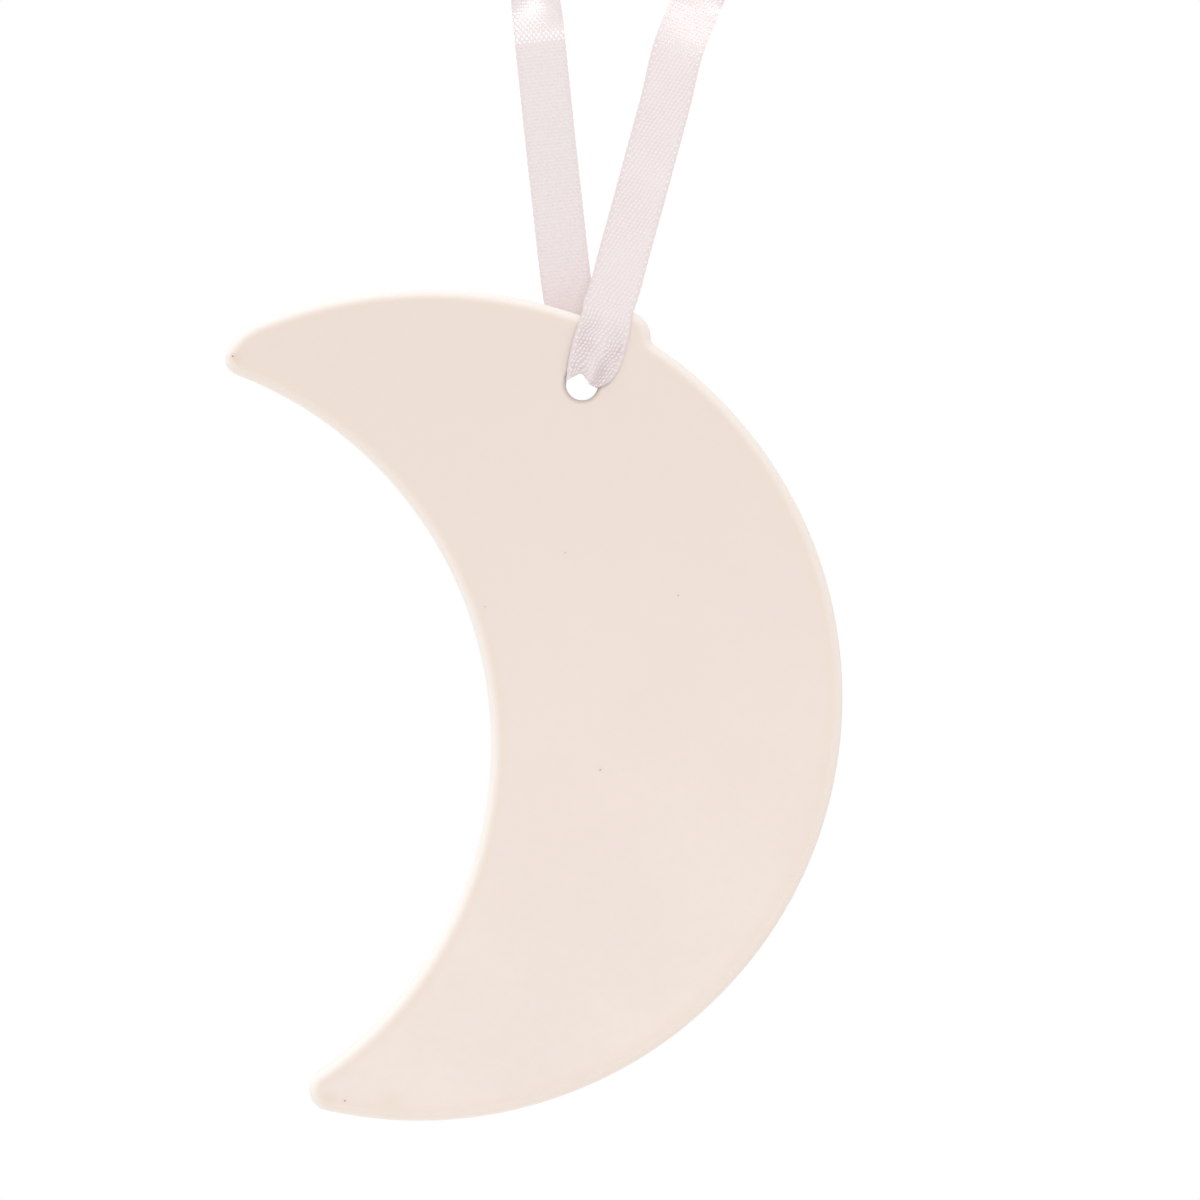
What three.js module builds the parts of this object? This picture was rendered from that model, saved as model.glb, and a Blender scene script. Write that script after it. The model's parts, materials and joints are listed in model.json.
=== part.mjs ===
// A small crescent plaque of pale bisque ceramic, hung by a satin ribbon.
// Millimetres, +Z up, +X right as seen from the front, the front faces -Y.
// The origin is the inside top of the ribbon loop, where a round peg carries it.
import * as THREE from 'three';

const degrees = (angle) => THREE.MathUtils.degToRad(angle);

// Plaque outline: a near-circular outer edge and a round bay cut out of it
const outerRadius = 53.3;
const bayRadius = 50.0;
const waistWidth = 44.7;
const crescentTilt = degrees(8.4);
const crownExtraRadius = 3.8;
const crownInset = 2.0;
const crownShift = 1.3;
const lowerTipRound = 2.6;
const upperTipRound = 2.15;
const upperTipDepth = 3.23;
const shoulderRadius = 7.5;

// The small lug on the edge beside the ribbon
const lugRadius = 3.6;
const lugAngle = degrees(60.5);
const lugInset = 1.4;
const lugRoot = 1.1;
const lugHiddenRoot = 2.0;

// Slab, its softened edge and the ribbon hole
const thickness = 5.5;
const edgeRound = 1.2;
const mostRoundOfTip = 0.8;
const mostRoundOfSlab = 0.4;
const holeRadius = 2.03;
const holeInset = 8.9;
const holeAngle = degrees(62.5);
const holeLip = 0.5;

// Ribbon
const ribbonWidth = 6.35;
const ribbonThickness = 0.3;
const clearance = 0.3;
const hangDrop = 75.3;
const hangShift = -5.66;
const archHalfAngle = degrees(85);
const frontLean = degrees(12);
const backLean = degrees(-6);
const spreadLength = 7.0;
const gatherLength = 7.0;
const gatheredWidth = 2.4;
const twistStartHeight = -31.0;
const twistEndHeight = -14.5;

// Knot and tails
const legEndHeight = 1.0;
const knotWidth = 6.4;
const knotDepth = 5.0;
const knotHeight = 5.2;
const tailWidth = 5.6;

// How finely the round and bent shapes are divided
const longestStep = 2.4;
const widestStep = degrees(20);
const roundSteps = 4;
const holeSides = 28;
const knotSides = 18;
const knotRings = 12;
const ribbonColumns = 5;
const bendSteps = 9;
const legSteps = 40;
const tailSteps = 10;

// Heights and depths that follow from the sizes above
const middleGap = clearance + ribbonThickness / 2;
const onFace = thickness / 2 + middleGap;
const bendRadius = holeLip + middleGap;
const archRadius = holeRadius + holeLip;
const knotBottom = legEndHeight + clearance;
const tailStart = knotBottom + knotHeight + clearance;

// Centre line of each leg, from the hole up to the knot: chosen by hand along the real ribbon
const frontRoute = [
  [-4.95, -onFace, -72.3],
  [-4.20, -onFace, -70.2],
  [-3.30, -onFace, -68.0],
  [-1.76, -onFace, -64.0],
  [-0.25, -onFace, -58.5],
  [1.50, -2.9, -52.2],
  [3.20, -2.4, -45.9],
  [4.90, -2.1, -39.6],
  [6.40, -1.6, -33.3],
  [8.85, -0.2, -27.0],
  [11.00, 0.5, -21.6],
  [12.34, 0.3, -16.74],
  [12.90, 0, -11.7],
  [11.43, 0, -6.7],
  [8.32, 0, -2.9],
  [5.20, 0, -0.9],
  [2.70, 0, -0.05],
  [1.35, 0, 0.55],
  [0.95, 0, legEndHeight],
];
const backRoute = [
  [-5.92, onFace, -72.2],
  [-6.20, onFace, -70.0],
  [-6.60, onFace, -67.6],
  [-7.40, onFace, -64.0],
  [-8.10, onFace, -58.5],
  [-8.80, 2.9, -52.2],
  [-9.50, 2.1, -45.9],
  [-10.16, 1.1, -39.6],
  [-10.82, 0.5, -33.3],
  [-11.48, 1.5, -27.0],
  [-12.08, 1.8, -21.6],
  [-12.72, 0.5, -15.4],
  [-12.66, 0, -10.0],
  [-10.60, 0, -5.3],
  [-7.60, 0, -2.3],
  [-4.90, 0, -0.8],
  [-2.70, 0, -0.05],
  [-1.35, 0, 0.55],
  [-0.95, 0, legEndHeight],
];
const leftTailRoute = [
  [-0.9, 0.5, tailStart],
  [-2.1, 0.6, 8.6],
  [-4.4, 0.2, 11.0],
  [-7.6, -0.5, 12.6],
  [-10.4, -1.1, 13.0],
];
const rightTailRoute = [
  [0.9, -0.5, tailStart],
  [1.9, -0.6, 9.0],
  [3.3, -0.2, 12.0],
  [5.4, 0.6, 15.0],
  [7.9, 1.3, 17.4],
];

const ceramic = () => new THREE.MeshStandardMaterial({ color: 0xece2da, roughness: 0.6, metalness: 0 });
const satin = () => new THREE.MeshStandardMaterial({ color: 0xeee0e1, roughness: 0.4, metalness: 0 });

// A point on the plane of the plaque, at a distance and direction from the outer edge's centre
const polar = (radius, angle) => new THREE.Vector2(radius * Math.cos(angle), radius * Math.sin(angle));

// Where two circles cross, on the chosen side of the line between their centres
function crossing(first, firstRadius, second, secondRadius, side) {
  const span = second.clone().sub(first);
  const length = span.length();
  const along = (length ** 2 + firstRadius ** 2 - secondRadius ** 2) / (2 * length);
  const away = Math.sqrt(firstRadius ** 2 - along ** 2);
  const unit = span.divideScalar(length);
  const across = new THREE.Vector2(-unit.y, unit.x).multiplyScalar(side * away);
  return first.clone().addScaledVector(unit, along).add(across);
}

// The circles that the outline follows clockwise, each touching the next; convex ones bulge outwards
function outlineCircles() {
  const outer = { centre: new THREE.Vector2(0, 0), radius: outerRadius, convex: true };
  const bayDistance = bayRadius + waistWidth - outerRadius;
  const bay = { centre: polar(-bayDistance, crescentTilt), radius: bayRadius, convex: false };
  const crown = {
    centre: new THREE.Vector2(crownShift, -crownExtraRadius - crownInset),
    radius: outerRadius + crownExtraRadius,
    convex: true,
  };
  const lug = { centre: polar(outerRadius - lugInset, lugAngle), radius: lugRadius, convex: true };
  const root = (edge, radius, side) => ({
    centre: crossing(edge.centre, edge.radius + radius, lug.centre, lug.radius + radius, side),
    radius,
    convex: false,
  });
  const lowerTip = {
    centre: crossing(outer.centre, outer.radius - lowerTipRound, bay.centre, bay.radius + lowerTipRound, 1),
    radius: lowerTipRound,
    convex: true,
  };
  const upperTip = {
    centre: crossing(crown.centre, crown.radius - upperTipDepth, bay.centre, bay.radius + upperTipRound, -1),
    radius: upperTipRound,
    convex: true,
  };
  const reach = shoulderRadius - upperTipRound;
  const shoulder = {
    centre: crossing(crown.centre, crown.radius - shoulderRadius, upperTip.centre, reach, -1),
    radius: shoulderRadius,
    convex: true,
  };
  const hiddenRoot = root(crown, lugHiddenRoot, 1);
  const openRoot = root(outer, lugRoot, -1);
  return [crown, hiddenRoot, lug, openRoot, outer, lowerTip, bay, upperTip, shoulder];
}

// The point where one circle of the outline hands over to the next
function handover(from, to) {
  const inside = from.convex === to.convex && from.radius < to.radius;
  const direction = to.centre.clone().sub(from.centre).normalize();
  return from.centre.clone().addScaledVector(direction, inside ? -from.radius : from.radius);
}

// The outline as points with their outward normals
function outlinePoints() {
  const circles = outlineCircles();
  const points = [];
  circles.forEach((circle, index) => {
    const before = circles[(index + circles.length - 1) % circles.length];
    const after = circles[(index + 1) % circles.length];
    const start = handover(before, circle).sub(circle.centre).angle();
    const end = handover(circle, after).sub(circle.centre).angle();
    const turn = circle.convex ? start - end : end - start;
    const sweep = THREE.MathUtils.euclideanModulo(turn, 2 * Math.PI);
    const count = Math.ceil(Math.max(sweep * circle.radius / longestStep, sweep / widestStep));
    for (let step = 0; step < count; step += 1) {
      const angle = start + (circle.convex ? -1 : 1) * sweep * step / count;
      const normal = polar(1, angle);
      const point = circle.centre.clone().addScaledVector(normal, circle.radius);
      points.push({ point, normal: circle.convex ? normal : normal.negate() });
    }
  });
  return points;
}

// How far a softened edge is drawn in, and at which depth, from the front face to the back face
function edgeLevels(round) {
  const levels = [];
  for (let step = 0; step <= roundSteps; step += 1) {
    const angle = Math.PI / 2 * (1 - step / roundSteps);
    levels.push({ inset: round * (1 - Math.cos(angle)), depth: thickness / 2 - round * (1 - Math.sin(angle)) });
  }
  const front = levels.map(({ inset, depth }) => ({ inset, y: -depth }));
  const back = levels.map(({ inset, depth }) => ({ inset, y: depth })).reverse();
  return [...front, ...back];
}

// The slab: its edge, the wall of the ribbon hole, and a front and a back face pierced by it
function plaqueGeometry(hole) {
  const narrowestTip = Math.min(lowerTipRound, upperTipRound);
  const softened = Math.min(edgeRound, narrowestTip * mostRoundOfTip, thickness * mostRoundOfSlab);
  const rim = outlinePoints();
  const holeRim = Array.from({ length: holeSides }, (_, step) => {
    const normal = polar(1, 2 * Math.PI * step / holeSides);
    return { point: hole.clone().addScaledVector(normal, holeRadius), normal: normal.negate() };
  });
  const positions = [];
  const index = [];

  function wall(ring, levels) {
    const first = positions.length / 3;
    for (const { inset, y } of levels) {
      for (const { point, normal } of ring) {
        positions.push(point.x - normal.x * inset, y, point.y - normal.y * inset);
      }
    }
    for (let level = 0; level + 1 < levels.length; level += 1) {
      for (let column = 0; column < ring.length; column += 1) {
        const next = (column + 1) % ring.length;
        const a = first + level * ring.length + column;
        const b = first + level * ring.length + next;
        index.push(a, b, a + ring.length);
        index.push(b, b + ring.length, a + ring.length);
      }
    }
    const last = first + (levels.length - 1) * ring.length;
    return { first, last };
  }

  const edge = wall(rim, edgeLevels(softened));
  const bore = wall(holeRim, edgeLevels(holeLip));
  const flat = (start, count) => Array.from({ length: count }, (_, step) => {
    const at = 3 * (start + step);
    return new THREE.Vector2(positions[at], positions[at + 2]);
  });
  const contour = flat(edge.first, rim.length);
  const opening = flat(bore.first, holeSides);
  const vertexOf = (corner, level) => (corner < rim.length
    ? edge[level] + corner
    : bore[level] + corner - rim.length);
  for (const [a, b, c] of THREE.ShapeUtils.triangulateShape(contour, [opening])) {
    index.push(vertexOf(a, 'first'), vertexOf(b, 'first'), vertexOf(c, 'first'));
    index.push(vertexOf(a, 'last'), vertexOf(c, 'last'), vertexOf(b, 'last'));
  }
  const geometry = new THREE.BufferGeometry();
  geometry.setAttribute('position', new THREE.Float32BufferAttribute(positions, 3));
  geometry.setIndex(index);
  geometry.computeVertexNormals();
  return geometry;
}

// A strip of ribbon: place(across, along) gives the middle surface and the satin side's normal
function ribbonGeometry(place, steps) {
  const ringSize = 2 * ribbonColumns;
  const positions = [];
  const index = [];
  for (let step = 0; step <= steps; step += 1) {
    for (let corner = 0; corner < ringSize; corner += 1) {
      const satinSide = corner >= ribbonColumns;
      const column = satinSide ? ringSize - 1 - corner : corner;
      const { point, normal } = place(2 * column / (ribbonColumns - 1) - 1, step / steps);
      point.addScaledVector(normal, (satinSide ? 0.5 : -0.5) * ribbonThickness);
      positions.push(point.x, point.y, point.z);
    }
  }
  const quad = (a, b, c, d) => index.push(a, b, c, a, c, d);
  for (let step = 0; step < steps; step += 1) {
    const ring = step * ringSize;
    for (let corner = 0; corner < ringSize; corner += 1) {
      const next = (corner + 1) % ringSize;
      quad(ring + corner, ring + next, ring + ringSize + next, ring + ringSize + corner);
    }
  }
  const lastRing = steps * ringSize;
  for (let column = 0; column + 1 < ribbonColumns; column += 1) {
    const opposite = ringSize - 1 - column;
    quad(column, opposite, opposite - 1, column + 1);
    quad(lastRing + column, lastRing + column + 1, lastRing + opposite - 1, lastRing + opposite);
  }
  const geometry = new THREE.BufferGeometry();
  geometry.setAttribute('position', new THREE.Float32BufferAttribute(positions, 3));
  geometry.setIndex(index);
  geometry.computeVertexNormals();
  return geometry;
}

// The stretch that lines the top of the hole and turns out over both of its lips:
// a third of its steps go to the front bend, a third to the wall of the hole, a third to the back bend
function throughHole(across, along) {
  const fromMiddle = 6 * Math.abs(along - 0.5);
  const side = along < 0.5 ? -1 : 1;
  const bend = Math.PI / 2 * Math.max(0, (fromMiddle - 1) / 2);
  const radius = archRadius - bendRadius * Math.cos(bend);
  const wallReach = (thickness / 2 - holeLip) * Math.min(1, fromMiddle);
  const depth = side * (wallReach + bendRadius * Math.sin(bend));
  const lean = THREE.MathUtils.lerp(frontLean, backLean, along);
  const angle = across * archHalfAngle + lean;
  const radial = new THREE.Vector3(Math.sin(angle), 0, Math.cos(angle));
  const point = new THREE.Vector3(hangShift, depth, -hangDrop).addScaledVector(radial, radius);
  const normal = radial.clone().multiplyScalar(-Math.cos(bend));
  normal.y = side * Math.sin(bend);
  return { point, normal };
}

// One leg: spread over the lip of the hole, flat on the plaque, then turned a quarter to lie on the peg
function leg(route, side, lean) {
  const line = new THREE.CatmullRomCurve3(route.map((point) => new THREE.Vector3(...point)), false, 'centripetal');
  const length = line.getLength();
  const toBack = new THREE.Vector3(0, 1, 0);
  return (across, along) => {
    const point = line.getPointAt(along);
    const forward = line.getTangentAt(along);
    const turned = THREE.MathUtils.smoothstep(point.z, twistStartHeight, twistEndHeight) * Math.PI / 2;
    const level = toBack.clone().cross(forward).normalize();
    const upright = forward.clone().cross(level);
    const width = level.clone().multiplyScalar(Math.cos(turned)).addScaledVector(upright, Math.sin(turned));
    width.multiplyScalar(side);
    const normal = forward.clone().cross(width);
    const gather = THREE.MathUtils.smoothstep((1 - along) * length, 0, gatherLength);
    const half = THREE.MathUtils.lerp(gatheredWidth, ribbonWidth, gather) / 2;
    point.addScaledVector(width, across * half);
    const spread = THREE.MathUtils.smoothstep(along * length, 0, spreadLength);
    const angle = side * across * archHalfAngle + lean;
    const lip = new THREE.Vector3(Math.sin(angle), 0, Math.cos(angle)).multiplyScalar(archRadius + clearance);
    lip.add(new THREE.Vector3(hangShift, side * onFace, -hangDrop));
    return { point: lip.lerp(point, spread), normal };
  };
}

// A cut end of the ribbon that stands out of the knot
function tail(route) {
  const line = new THREE.CatmullRomCurve3(route.map((point) => new THREE.Vector3(...point)), false, 'centripetal');
  return (across, along) => {
    const point = line.getPointAt(along);
    const forward = line.getTangentAt(along);
    const width = new THREE.Vector3(0, 1, 0);
    const half = THREE.MathUtils.lerp(gatheredWidth, tailWidth, Math.sqrt(along)) / 2;
    const normal = forward.clone().cross(width).normalize();
    return { point: point.addScaledVector(width, across * half), normal };
  };
}

function piece(name, geometry, material) {
  const mesh = new THREE.Mesh(geometry, material);
  mesh.name = name;
  return mesh;
}

const assembly = new THREE.Group();

const holePlace = polar(outerRadius - holeInset, holeAngle);
const plaque = piece('plaque_body', plaqueGeometry(holePlace), ceramic());
plaque.position.set(hangShift - holePlace.x, 0, -hangDrop - holePlace.y);
assembly.add(plaque);

assembly.add(piece('ribbon_through_hole', ribbonGeometry(throughHole, bendSteps), satin()));
assembly.add(piece('ribbon_front_leg', ribbonGeometry(leg(frontRoute, -1, frontLean), legSteps), satin()));
assembly.add(piece('ribbon_back_leg', ribbonGeometry(leg(backRoute, 1, backLean), legSteps), satin()));

const knotShape = new THREE.SphereGeometry(0.5, knotSides, knotRings);
knotShape.scale(knotWidth, knotDepth, knotHeight);
const knot = piece('ribbon_knot', knotShape, satin());
knot.position.z = knotBottom + knotHeight / 2;
assembly.add(knot);

assembly.add(piece('ribbon_tail_left', ribbonGeometry(tail(leftTailRoute), tailSteps), satin()));
assembly.add(piece('ribbon_tail_right', ribbonGeometry(tail(rightTailRoute), tailSteps), satin()));

export default assembly;
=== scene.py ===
import json
import math

import bpy
import numpy as np
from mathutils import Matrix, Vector
from mathutils.kdtree import KDTree


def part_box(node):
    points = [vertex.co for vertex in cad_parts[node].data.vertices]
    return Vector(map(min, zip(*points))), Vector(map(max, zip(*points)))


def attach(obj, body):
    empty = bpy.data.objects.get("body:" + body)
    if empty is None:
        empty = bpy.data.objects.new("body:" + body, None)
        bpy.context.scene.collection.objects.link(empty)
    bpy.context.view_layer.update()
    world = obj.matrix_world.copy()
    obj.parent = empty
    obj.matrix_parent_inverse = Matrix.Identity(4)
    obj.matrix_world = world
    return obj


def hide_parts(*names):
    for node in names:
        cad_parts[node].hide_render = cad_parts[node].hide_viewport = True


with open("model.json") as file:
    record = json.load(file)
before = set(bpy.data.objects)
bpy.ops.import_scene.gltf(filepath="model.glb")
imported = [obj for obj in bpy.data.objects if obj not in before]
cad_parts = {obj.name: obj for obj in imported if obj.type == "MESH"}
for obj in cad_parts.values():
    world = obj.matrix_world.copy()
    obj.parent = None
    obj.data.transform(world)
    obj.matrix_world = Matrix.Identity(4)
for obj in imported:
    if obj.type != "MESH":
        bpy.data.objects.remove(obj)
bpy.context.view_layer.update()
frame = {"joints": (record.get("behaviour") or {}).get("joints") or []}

# A crescent of pale bisque ceramic, hung by one length of narrow satin ribbon.
# Metres, +Z up, +X to the right seen from the front, the front faces -Y.
# The origin is the inside top of the ribbon loop.
MM = 0.001

# A length too short to matter, which keeps a division away from nought
TINY = 1e-9

# Edges that turn by more than this are sharp
SHARP_ANGLE = math.radians(50)

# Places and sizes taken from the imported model
HOLE = Vector(frame["joints"][0]["pos_m"])
PLAQUE_LOW, PLAQUE_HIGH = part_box("plaque_body")
THICKNESS = PLAQUE_HIGH.y - PLAQUE_LOW.y
PLAQUE_HEIGHT = PLAQUE_HIGH.z - PLAQUE_LOW.z
KNOT_LOW, KNOT_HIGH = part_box("ribbon_knot")

# Outline of the crescent, as in the model
OUTER_RADIUS = 53.3 * MM
BAY_RADIUS = 50.0 * MM
WAIST_WIDTH = 44.7 * MM
CRESCENT_TILT = math.radians(8.4)
CROWN_EXTRA_RADIUS = 3.8 * MM
CROWN_INSET = 2.0 * MM
CROWN_SHIFT = 1.3 * MM
LOWER_TIP_ROUND = 2.6 * MM
UPPER_TIP_ROUND = 2.15 * MM
UPPER_TIP_DEPTH = 3.23 * MM
SHOULDER_RADIUS = 7.5 * MM
LUG_RADIUS = 3.6 * MM
LUG_ANGLE = math.radians(60.5)
LUG_INSET = 1.4 * MM
LUG_ROOT = 1.1 * MM
LUG_HIDDEN_ROOT = 2.0 * MM
HOLE_RADIUS = 2.03 * MM
HOLE_INSET = 8.9 * MM
HOLE_ANGLE = math.radians(62.5)
HOLE_LIP = 0.5 * MM
EDGE_ROUND = 1.2 * MM

# Ribbon: its size, how close it lies to the ceramic, and how finely its mesh is laid
RIBBON_WIDTH = 6.35 * MM
RIBBON_THICKNESS = 0.15 * MM
RIBBON_GAP = 0.05 * MM
RIBBON_STEP = 0.21 * MM
RIBBON_COLUMNS = 22

# The heights between which each leg turns edge on, and how narrow it is gathered before the knot
TWIST_START = {"front": -28.0 * MM, "back": -31.0 * MM}
TWIST_END = -14.5 * MM
GATHER_LENGTH = 7.0 * MM
GATHERED_WIDTH = 2.4 * MM

# Inside the knot a leg runs on up, in millimetres as in its route, and in to this share of its way out
LEG_IN_KNOT = 1.0
LEG_DRAWN_IN = 0.8

# The real ribbon lies closer to the ceramic than the model's clearance lets its solid lie: this share of the
# model's distance is kept
ON_FACE_SHARE = 0.25

# Where the legs come into the light of the loop's top they lean back, the back one with a crisp bend
LEAN_START = {"front": -33.5 * MM, "back": -32.0 * MM}
LEAN_SOFTNESS = {"front": 7.0 * MM, "back": 0.8 * MM}
LEAN_SLOPE = {"front": 0.08, "back": 0.27}
LEAN_END = -24.0 * MM
LEAN_GONE = -9.0 * MM

# The small loops on the ribbon's two edges: how far apart they stand and how far they swell the edge
SELVEDGE_PITCH = 0.95 * MM
SELVEDGE_SWELL = 0.025 * MM

# Camera: long lens, square to the plaque
PIXEL = 0.1257 * MM
IMAGE_SIDE = 1200
LENS = 200.0
SENSOR = 36.0
VIEW_CENTRE = Vector((-3.39 * MM, -THICKNESS / 2, -102.45 * MM))

# The front leg's line from the hole to the knot, in millimetres, as in the model
FRONT_ROUTE = [
    (-4.95, -3.2, -72.3),
    (-4.20, -3.2, -70.2),
    (-3.30, -3.2, -68.0),
    (-1.76, -3.2, -64.0),
    (-0.25, -3.2, -58.5),
    (1.50, -2.9, -52.2),
    (3.20, -2.4, -45.9),
    (4.90, -2.1, -39.6),
    (6.40, -1.6, -33.3),
    (8.85, -0.2, -27.0),
    (11.00, 0.5, -21.6),
    (12.34, 0.3, -16.74),
    (12.90, 0.0, -11.7),
    (11.43, 0.0, -6.7),
    (8.32, 0.0, -2.9),
    (5.20, 0.0, -0.9),
    (2.70, 0.0, -0.05),
    (1.35, 0.0, 0.55),
    (0.95, 0.0, 1.0),
]

# The back leg's line from the hole to the knot, in millimetres, as in the model
BACK_ROUTE = [
    (-5.92, 3.2, -72.2),
    (-6.20, 3.2, -70.0),
    (-6.60, 3.2, -67.6),
    (-7.40, 3.2, -64.0),
    (-8.10, 3.2, -58.5),
    (-8.80, 2.9, -52.2),
    (-9.50, 2.1, -45.9),
    (-10.16, 1.1, -39.6),
    (-10.82, 0.5, -33.3),
    (-11.48, 1.5, -27.0),
    (-12.08, 1.8, -21.6),
    (-12.72, 0.5, -15.4),
    (-12.66, 0.0, -10.0),
    (-10.60, 0.0, -5.3),
    (-7.60, 0.0, -2.3),
    (-4.90, 0.0, -0.8),
    (-2.70, 0.0, -0.05),
    (-1.35, 0.0, 0.55),
    (-0.95, 0.0, 1.0),
]

# How high over the middle of the hole each leg's own rows begin, in millimetres
LEG_ROWS_START = {"front": 9.6, "back": 8.6}

# How the ribbon lies where it goes through the hole: rows across it from its left edge to its right edge,
# in millimetres from the middle of the hole, first down the front, then through, then up the back
HOLE_ROWS = [
    [(0.02, -2.97, 9.11), (1.05, -2.96, 8.86), (2.07, -2.98, 8.61), (3.10, -2.97, 8.36),
     (4.13, -2.95, 8.10), (5.15, -2.94, 7.85), (6.18, -2.87, 7.60)],
    [(-0.66, -3.02, 7.00), (0.41, -3.04, 6.74), (1.48, -3.08, 6.48), (2.55, -3.02, 6.22),
     (3.62, -2.97, 5.96), (4.68, -2.98, 5.71), (5.75, -2.87, 5.45)],
    [(-1.35, -3.10, 4.50), (-0.30, -3.14, 4.22), (0.75, -3.24, 3.93), (1.80, -3.10, 3.64),
     (2.85, -2.95, 3.34), (3.95, -3.10, 3.04), (5.02, -2.87, 2.80)],
    [(-1.76, -3.12, 2.45), (-0.74, -3.20, 2.32), (0.28, -3.36, 2.12), (1.26, -3.18, 1.84),
     (2.12, -2.92, 1.50), (3.16, -3.26, 1.26), (4.28, -2.92, 1.28)],
    [(-1.98, -3.00, 0.58), (-0.98, -3.12, 1.02), (-0.02, -3.24, 1.38), (0.62, -3.06, 0.68),
     (1.22, -2.98, -0.16), (2.10, -3.18, -0.30), (3.36, -3.00, 0.20)],
    [(-1.90, -2.58, 0.60), (-1.18, -2.72, 1.18), (-0.24, -2.76, 1.60), (0.56, -2.76, 0.98),
     (1.22, -2.80, 0.16), (1.84, -2.94, -0.30), (2.44, -3.10, -0.24)],
    [(-1.72, -1.60, 0.66), (-1.22, -1.60, 1.36), (-0.42, -1.60, 1.76), (0.42, -1.60, 1.58),
     (1.14, -1.65, 1.08), (1.64, -1.75, 0.40), (1.76, -1.90, -0.42)],
    [(-1.66, 0.0, 0.80), (-1.25, 0.0, 1.36), (-0.62, 0.0, 1.74), (0.12, 0.0, 1.82),
     (0.92, 0.0, 1.58), (1.52, 0.0, 1.02), (1.82, 0.0, 0.20)],
    [(-1.64, 1.70, 0.88), (-1.26, 1.70, 1.38), (-0.66, 1.70, 1.74), (0.08, 1.70, 1.86),
     (0.88, 1.70, 1.64), (1.50, 1.70, 1.08), (1.82, 1.70, 0.28)],
    [(-1.98, 2.66, 1.02), (-1.62, 2.70, 1.64), (-0.92, 2.70, 2.08), (-0.02, 2.70, 2.24),
     (0.92, 2.70, 2.02), (1.72, 2.70, 1.36), (2.10, 2.66, 0.50)],
    [(-2.60, 2.93, 1.20), (-2.05, 3.10, 2.05), (-1.18, 2.98, 2.70), (-0.14, 3.14, 2.97),
     (0.92, 2.97, 2.77), (1.86, 3.12, 2.04), (2.44, 2.93, 1.10)],
    [(-3.02, 2.92, 3.10), (-2.25, 3.14, 3.82), (-1.32, 2.98, 4.38), (-0.36, 3.18, 4.62),
     (0.66, 2.98, 4.46), (1.66, 3.12, 3.92), (2.44, 2.93, 3.22)],
    [(-3.58, 2.93, 5.80), (-2.62, 3.06, 6.18), (-1.62, 2.98, 6.44), (-0.62, 3.08, 6.52),
     (0.42, 2.97, 6.40), (1.42, 3.05, 6.08), (2.36, 2.93, 5.70)],
]


# Small helpers

def deselect_all():
    if bpy.context.object and bpy.context.object.mode != "OBJECT":
        bpy.ops.object.mode_set(mode="OBJECT")
    bpy.ops.object.select_all(action="DESELECT")


def select_only(piece):
    deselect_all()
    bpy.context.view_layer.objects.active = piece
    piece.select_set(True)


def start(name):
    """Names the primitive that was just added and empties its material list."""
    piece = bpy.context.object
    piece.name = name
    piece.data.name = name
    piece.data.materials.clear()
    return piece


def editing(piece, kind):
    """Edit mode on one piece, with nothing selected; the kind is VERT, EDGE or FACE."""
    select_only(piece)
    bpy.ops.object.mode_set(mode="EDIT")
    bpy.ops.mesh.select_mode(type=kind)
    bpy.ops.mesh.select_all(action="DESELECT")


def pick(piece, wanted):
    """In edit mode, selects the faces that pass a test."""
    bpy.ops.mesh.select_all(action="DESELECT")
    bpy.ops.object.mode_set(mode="OBJECT")
    for face in piece.data.polygons:
        face.select = wanted(face)
    bpy.ops.object.mode_set(mode="EDIT")


def apply_modifiers(piece):
    select_only(piece)
    for modifier in list(piece.modifiers):
        bpy.ops.object.modifier_apply(modifier=modifier.name)


def settle(piece):
    """Puts the piece's place into its mesh and leaves its object at the origin."""
    select_only(piece)
    bpy.ops.object.transform_apply(location=True, rotation=True, scale=True)


def smooth_step(value, low, high):
    share = min(1.0, max(0.0, (value - low) / (high - low)))
    return share * share * (3 - 2 * share)


def unit(vectors):
    return vectors / np.linalg.norm(vectors, axis=-1, keepdims=True)


def middle_points(rows):
    """The middle of each row; a row is one point or a whole line of points."""
    return rows if rows.ndim == 2 else rows[:, rows.shape[1] // 2]


def curve_through(rows, steps):
    """A centripetal Catmull-Rom curve through the rows."""
    rows = np.asarray(rows, float)
    middle = middle_points(rows)
    first = 2 * rows[:1] - rows[1:2]
    last = 2 * rows[-1:] - rows[-2:-1]
    rows = np.concatenate([first, rows, last])
    chords = np.linalg.norm(np.diff(middle, axis=0), axis=1) ** 0.5
    chords = np.concatenate([chords[:1], chords, chords[-1:]])
    made = []
    for span in range(1, len(rows) - 2):
        p0, p1, p2, p3 = rows[span - 1 : span + 3]
        d0, d1, d2 = chords[span - 1 : span + 2]
        slope1 = d1 * ((p1 - p0) / d0 - (p2 - p0) / (d0 + d1) + (p2 - p1) / d1)
        slope2 = d1 * ((p2 - p1) / d1 - (p3 - p1) / (d1 + d2) + (p3 - p2) / d2)
        for t in np.arange(steps) / steps:
            made.append(
                (2 * t**3 - 3 * t**2 + 1) * p1
                + (t**3 - 2 * t**2 + t) * slope1
                + (3 * t**2 - 2 * t**3) * p2
                + (t**3 - t**2) * slope2
            )
    made.append(rows[-2])
    return np.array(made)


def lengths_along(points):
    return np.concatenate([[0.0], np.cumsum(np.linalg.norm(np.diff(points, axis=0), axis=1))])


def at_lengths(rows, wanted):
    """The rows at given lengths along their middle points."""
    along = lengths_along(middle_points(rows))
    flat = rows.reshape(len(rows), -1)
    found = np.stack([np.interp(wanted, along, flat[:, k]) for k in range(flat.shape[1])], axis=1)
    return found.reshape((len(wanted),) + rows.shape[1:])


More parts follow.
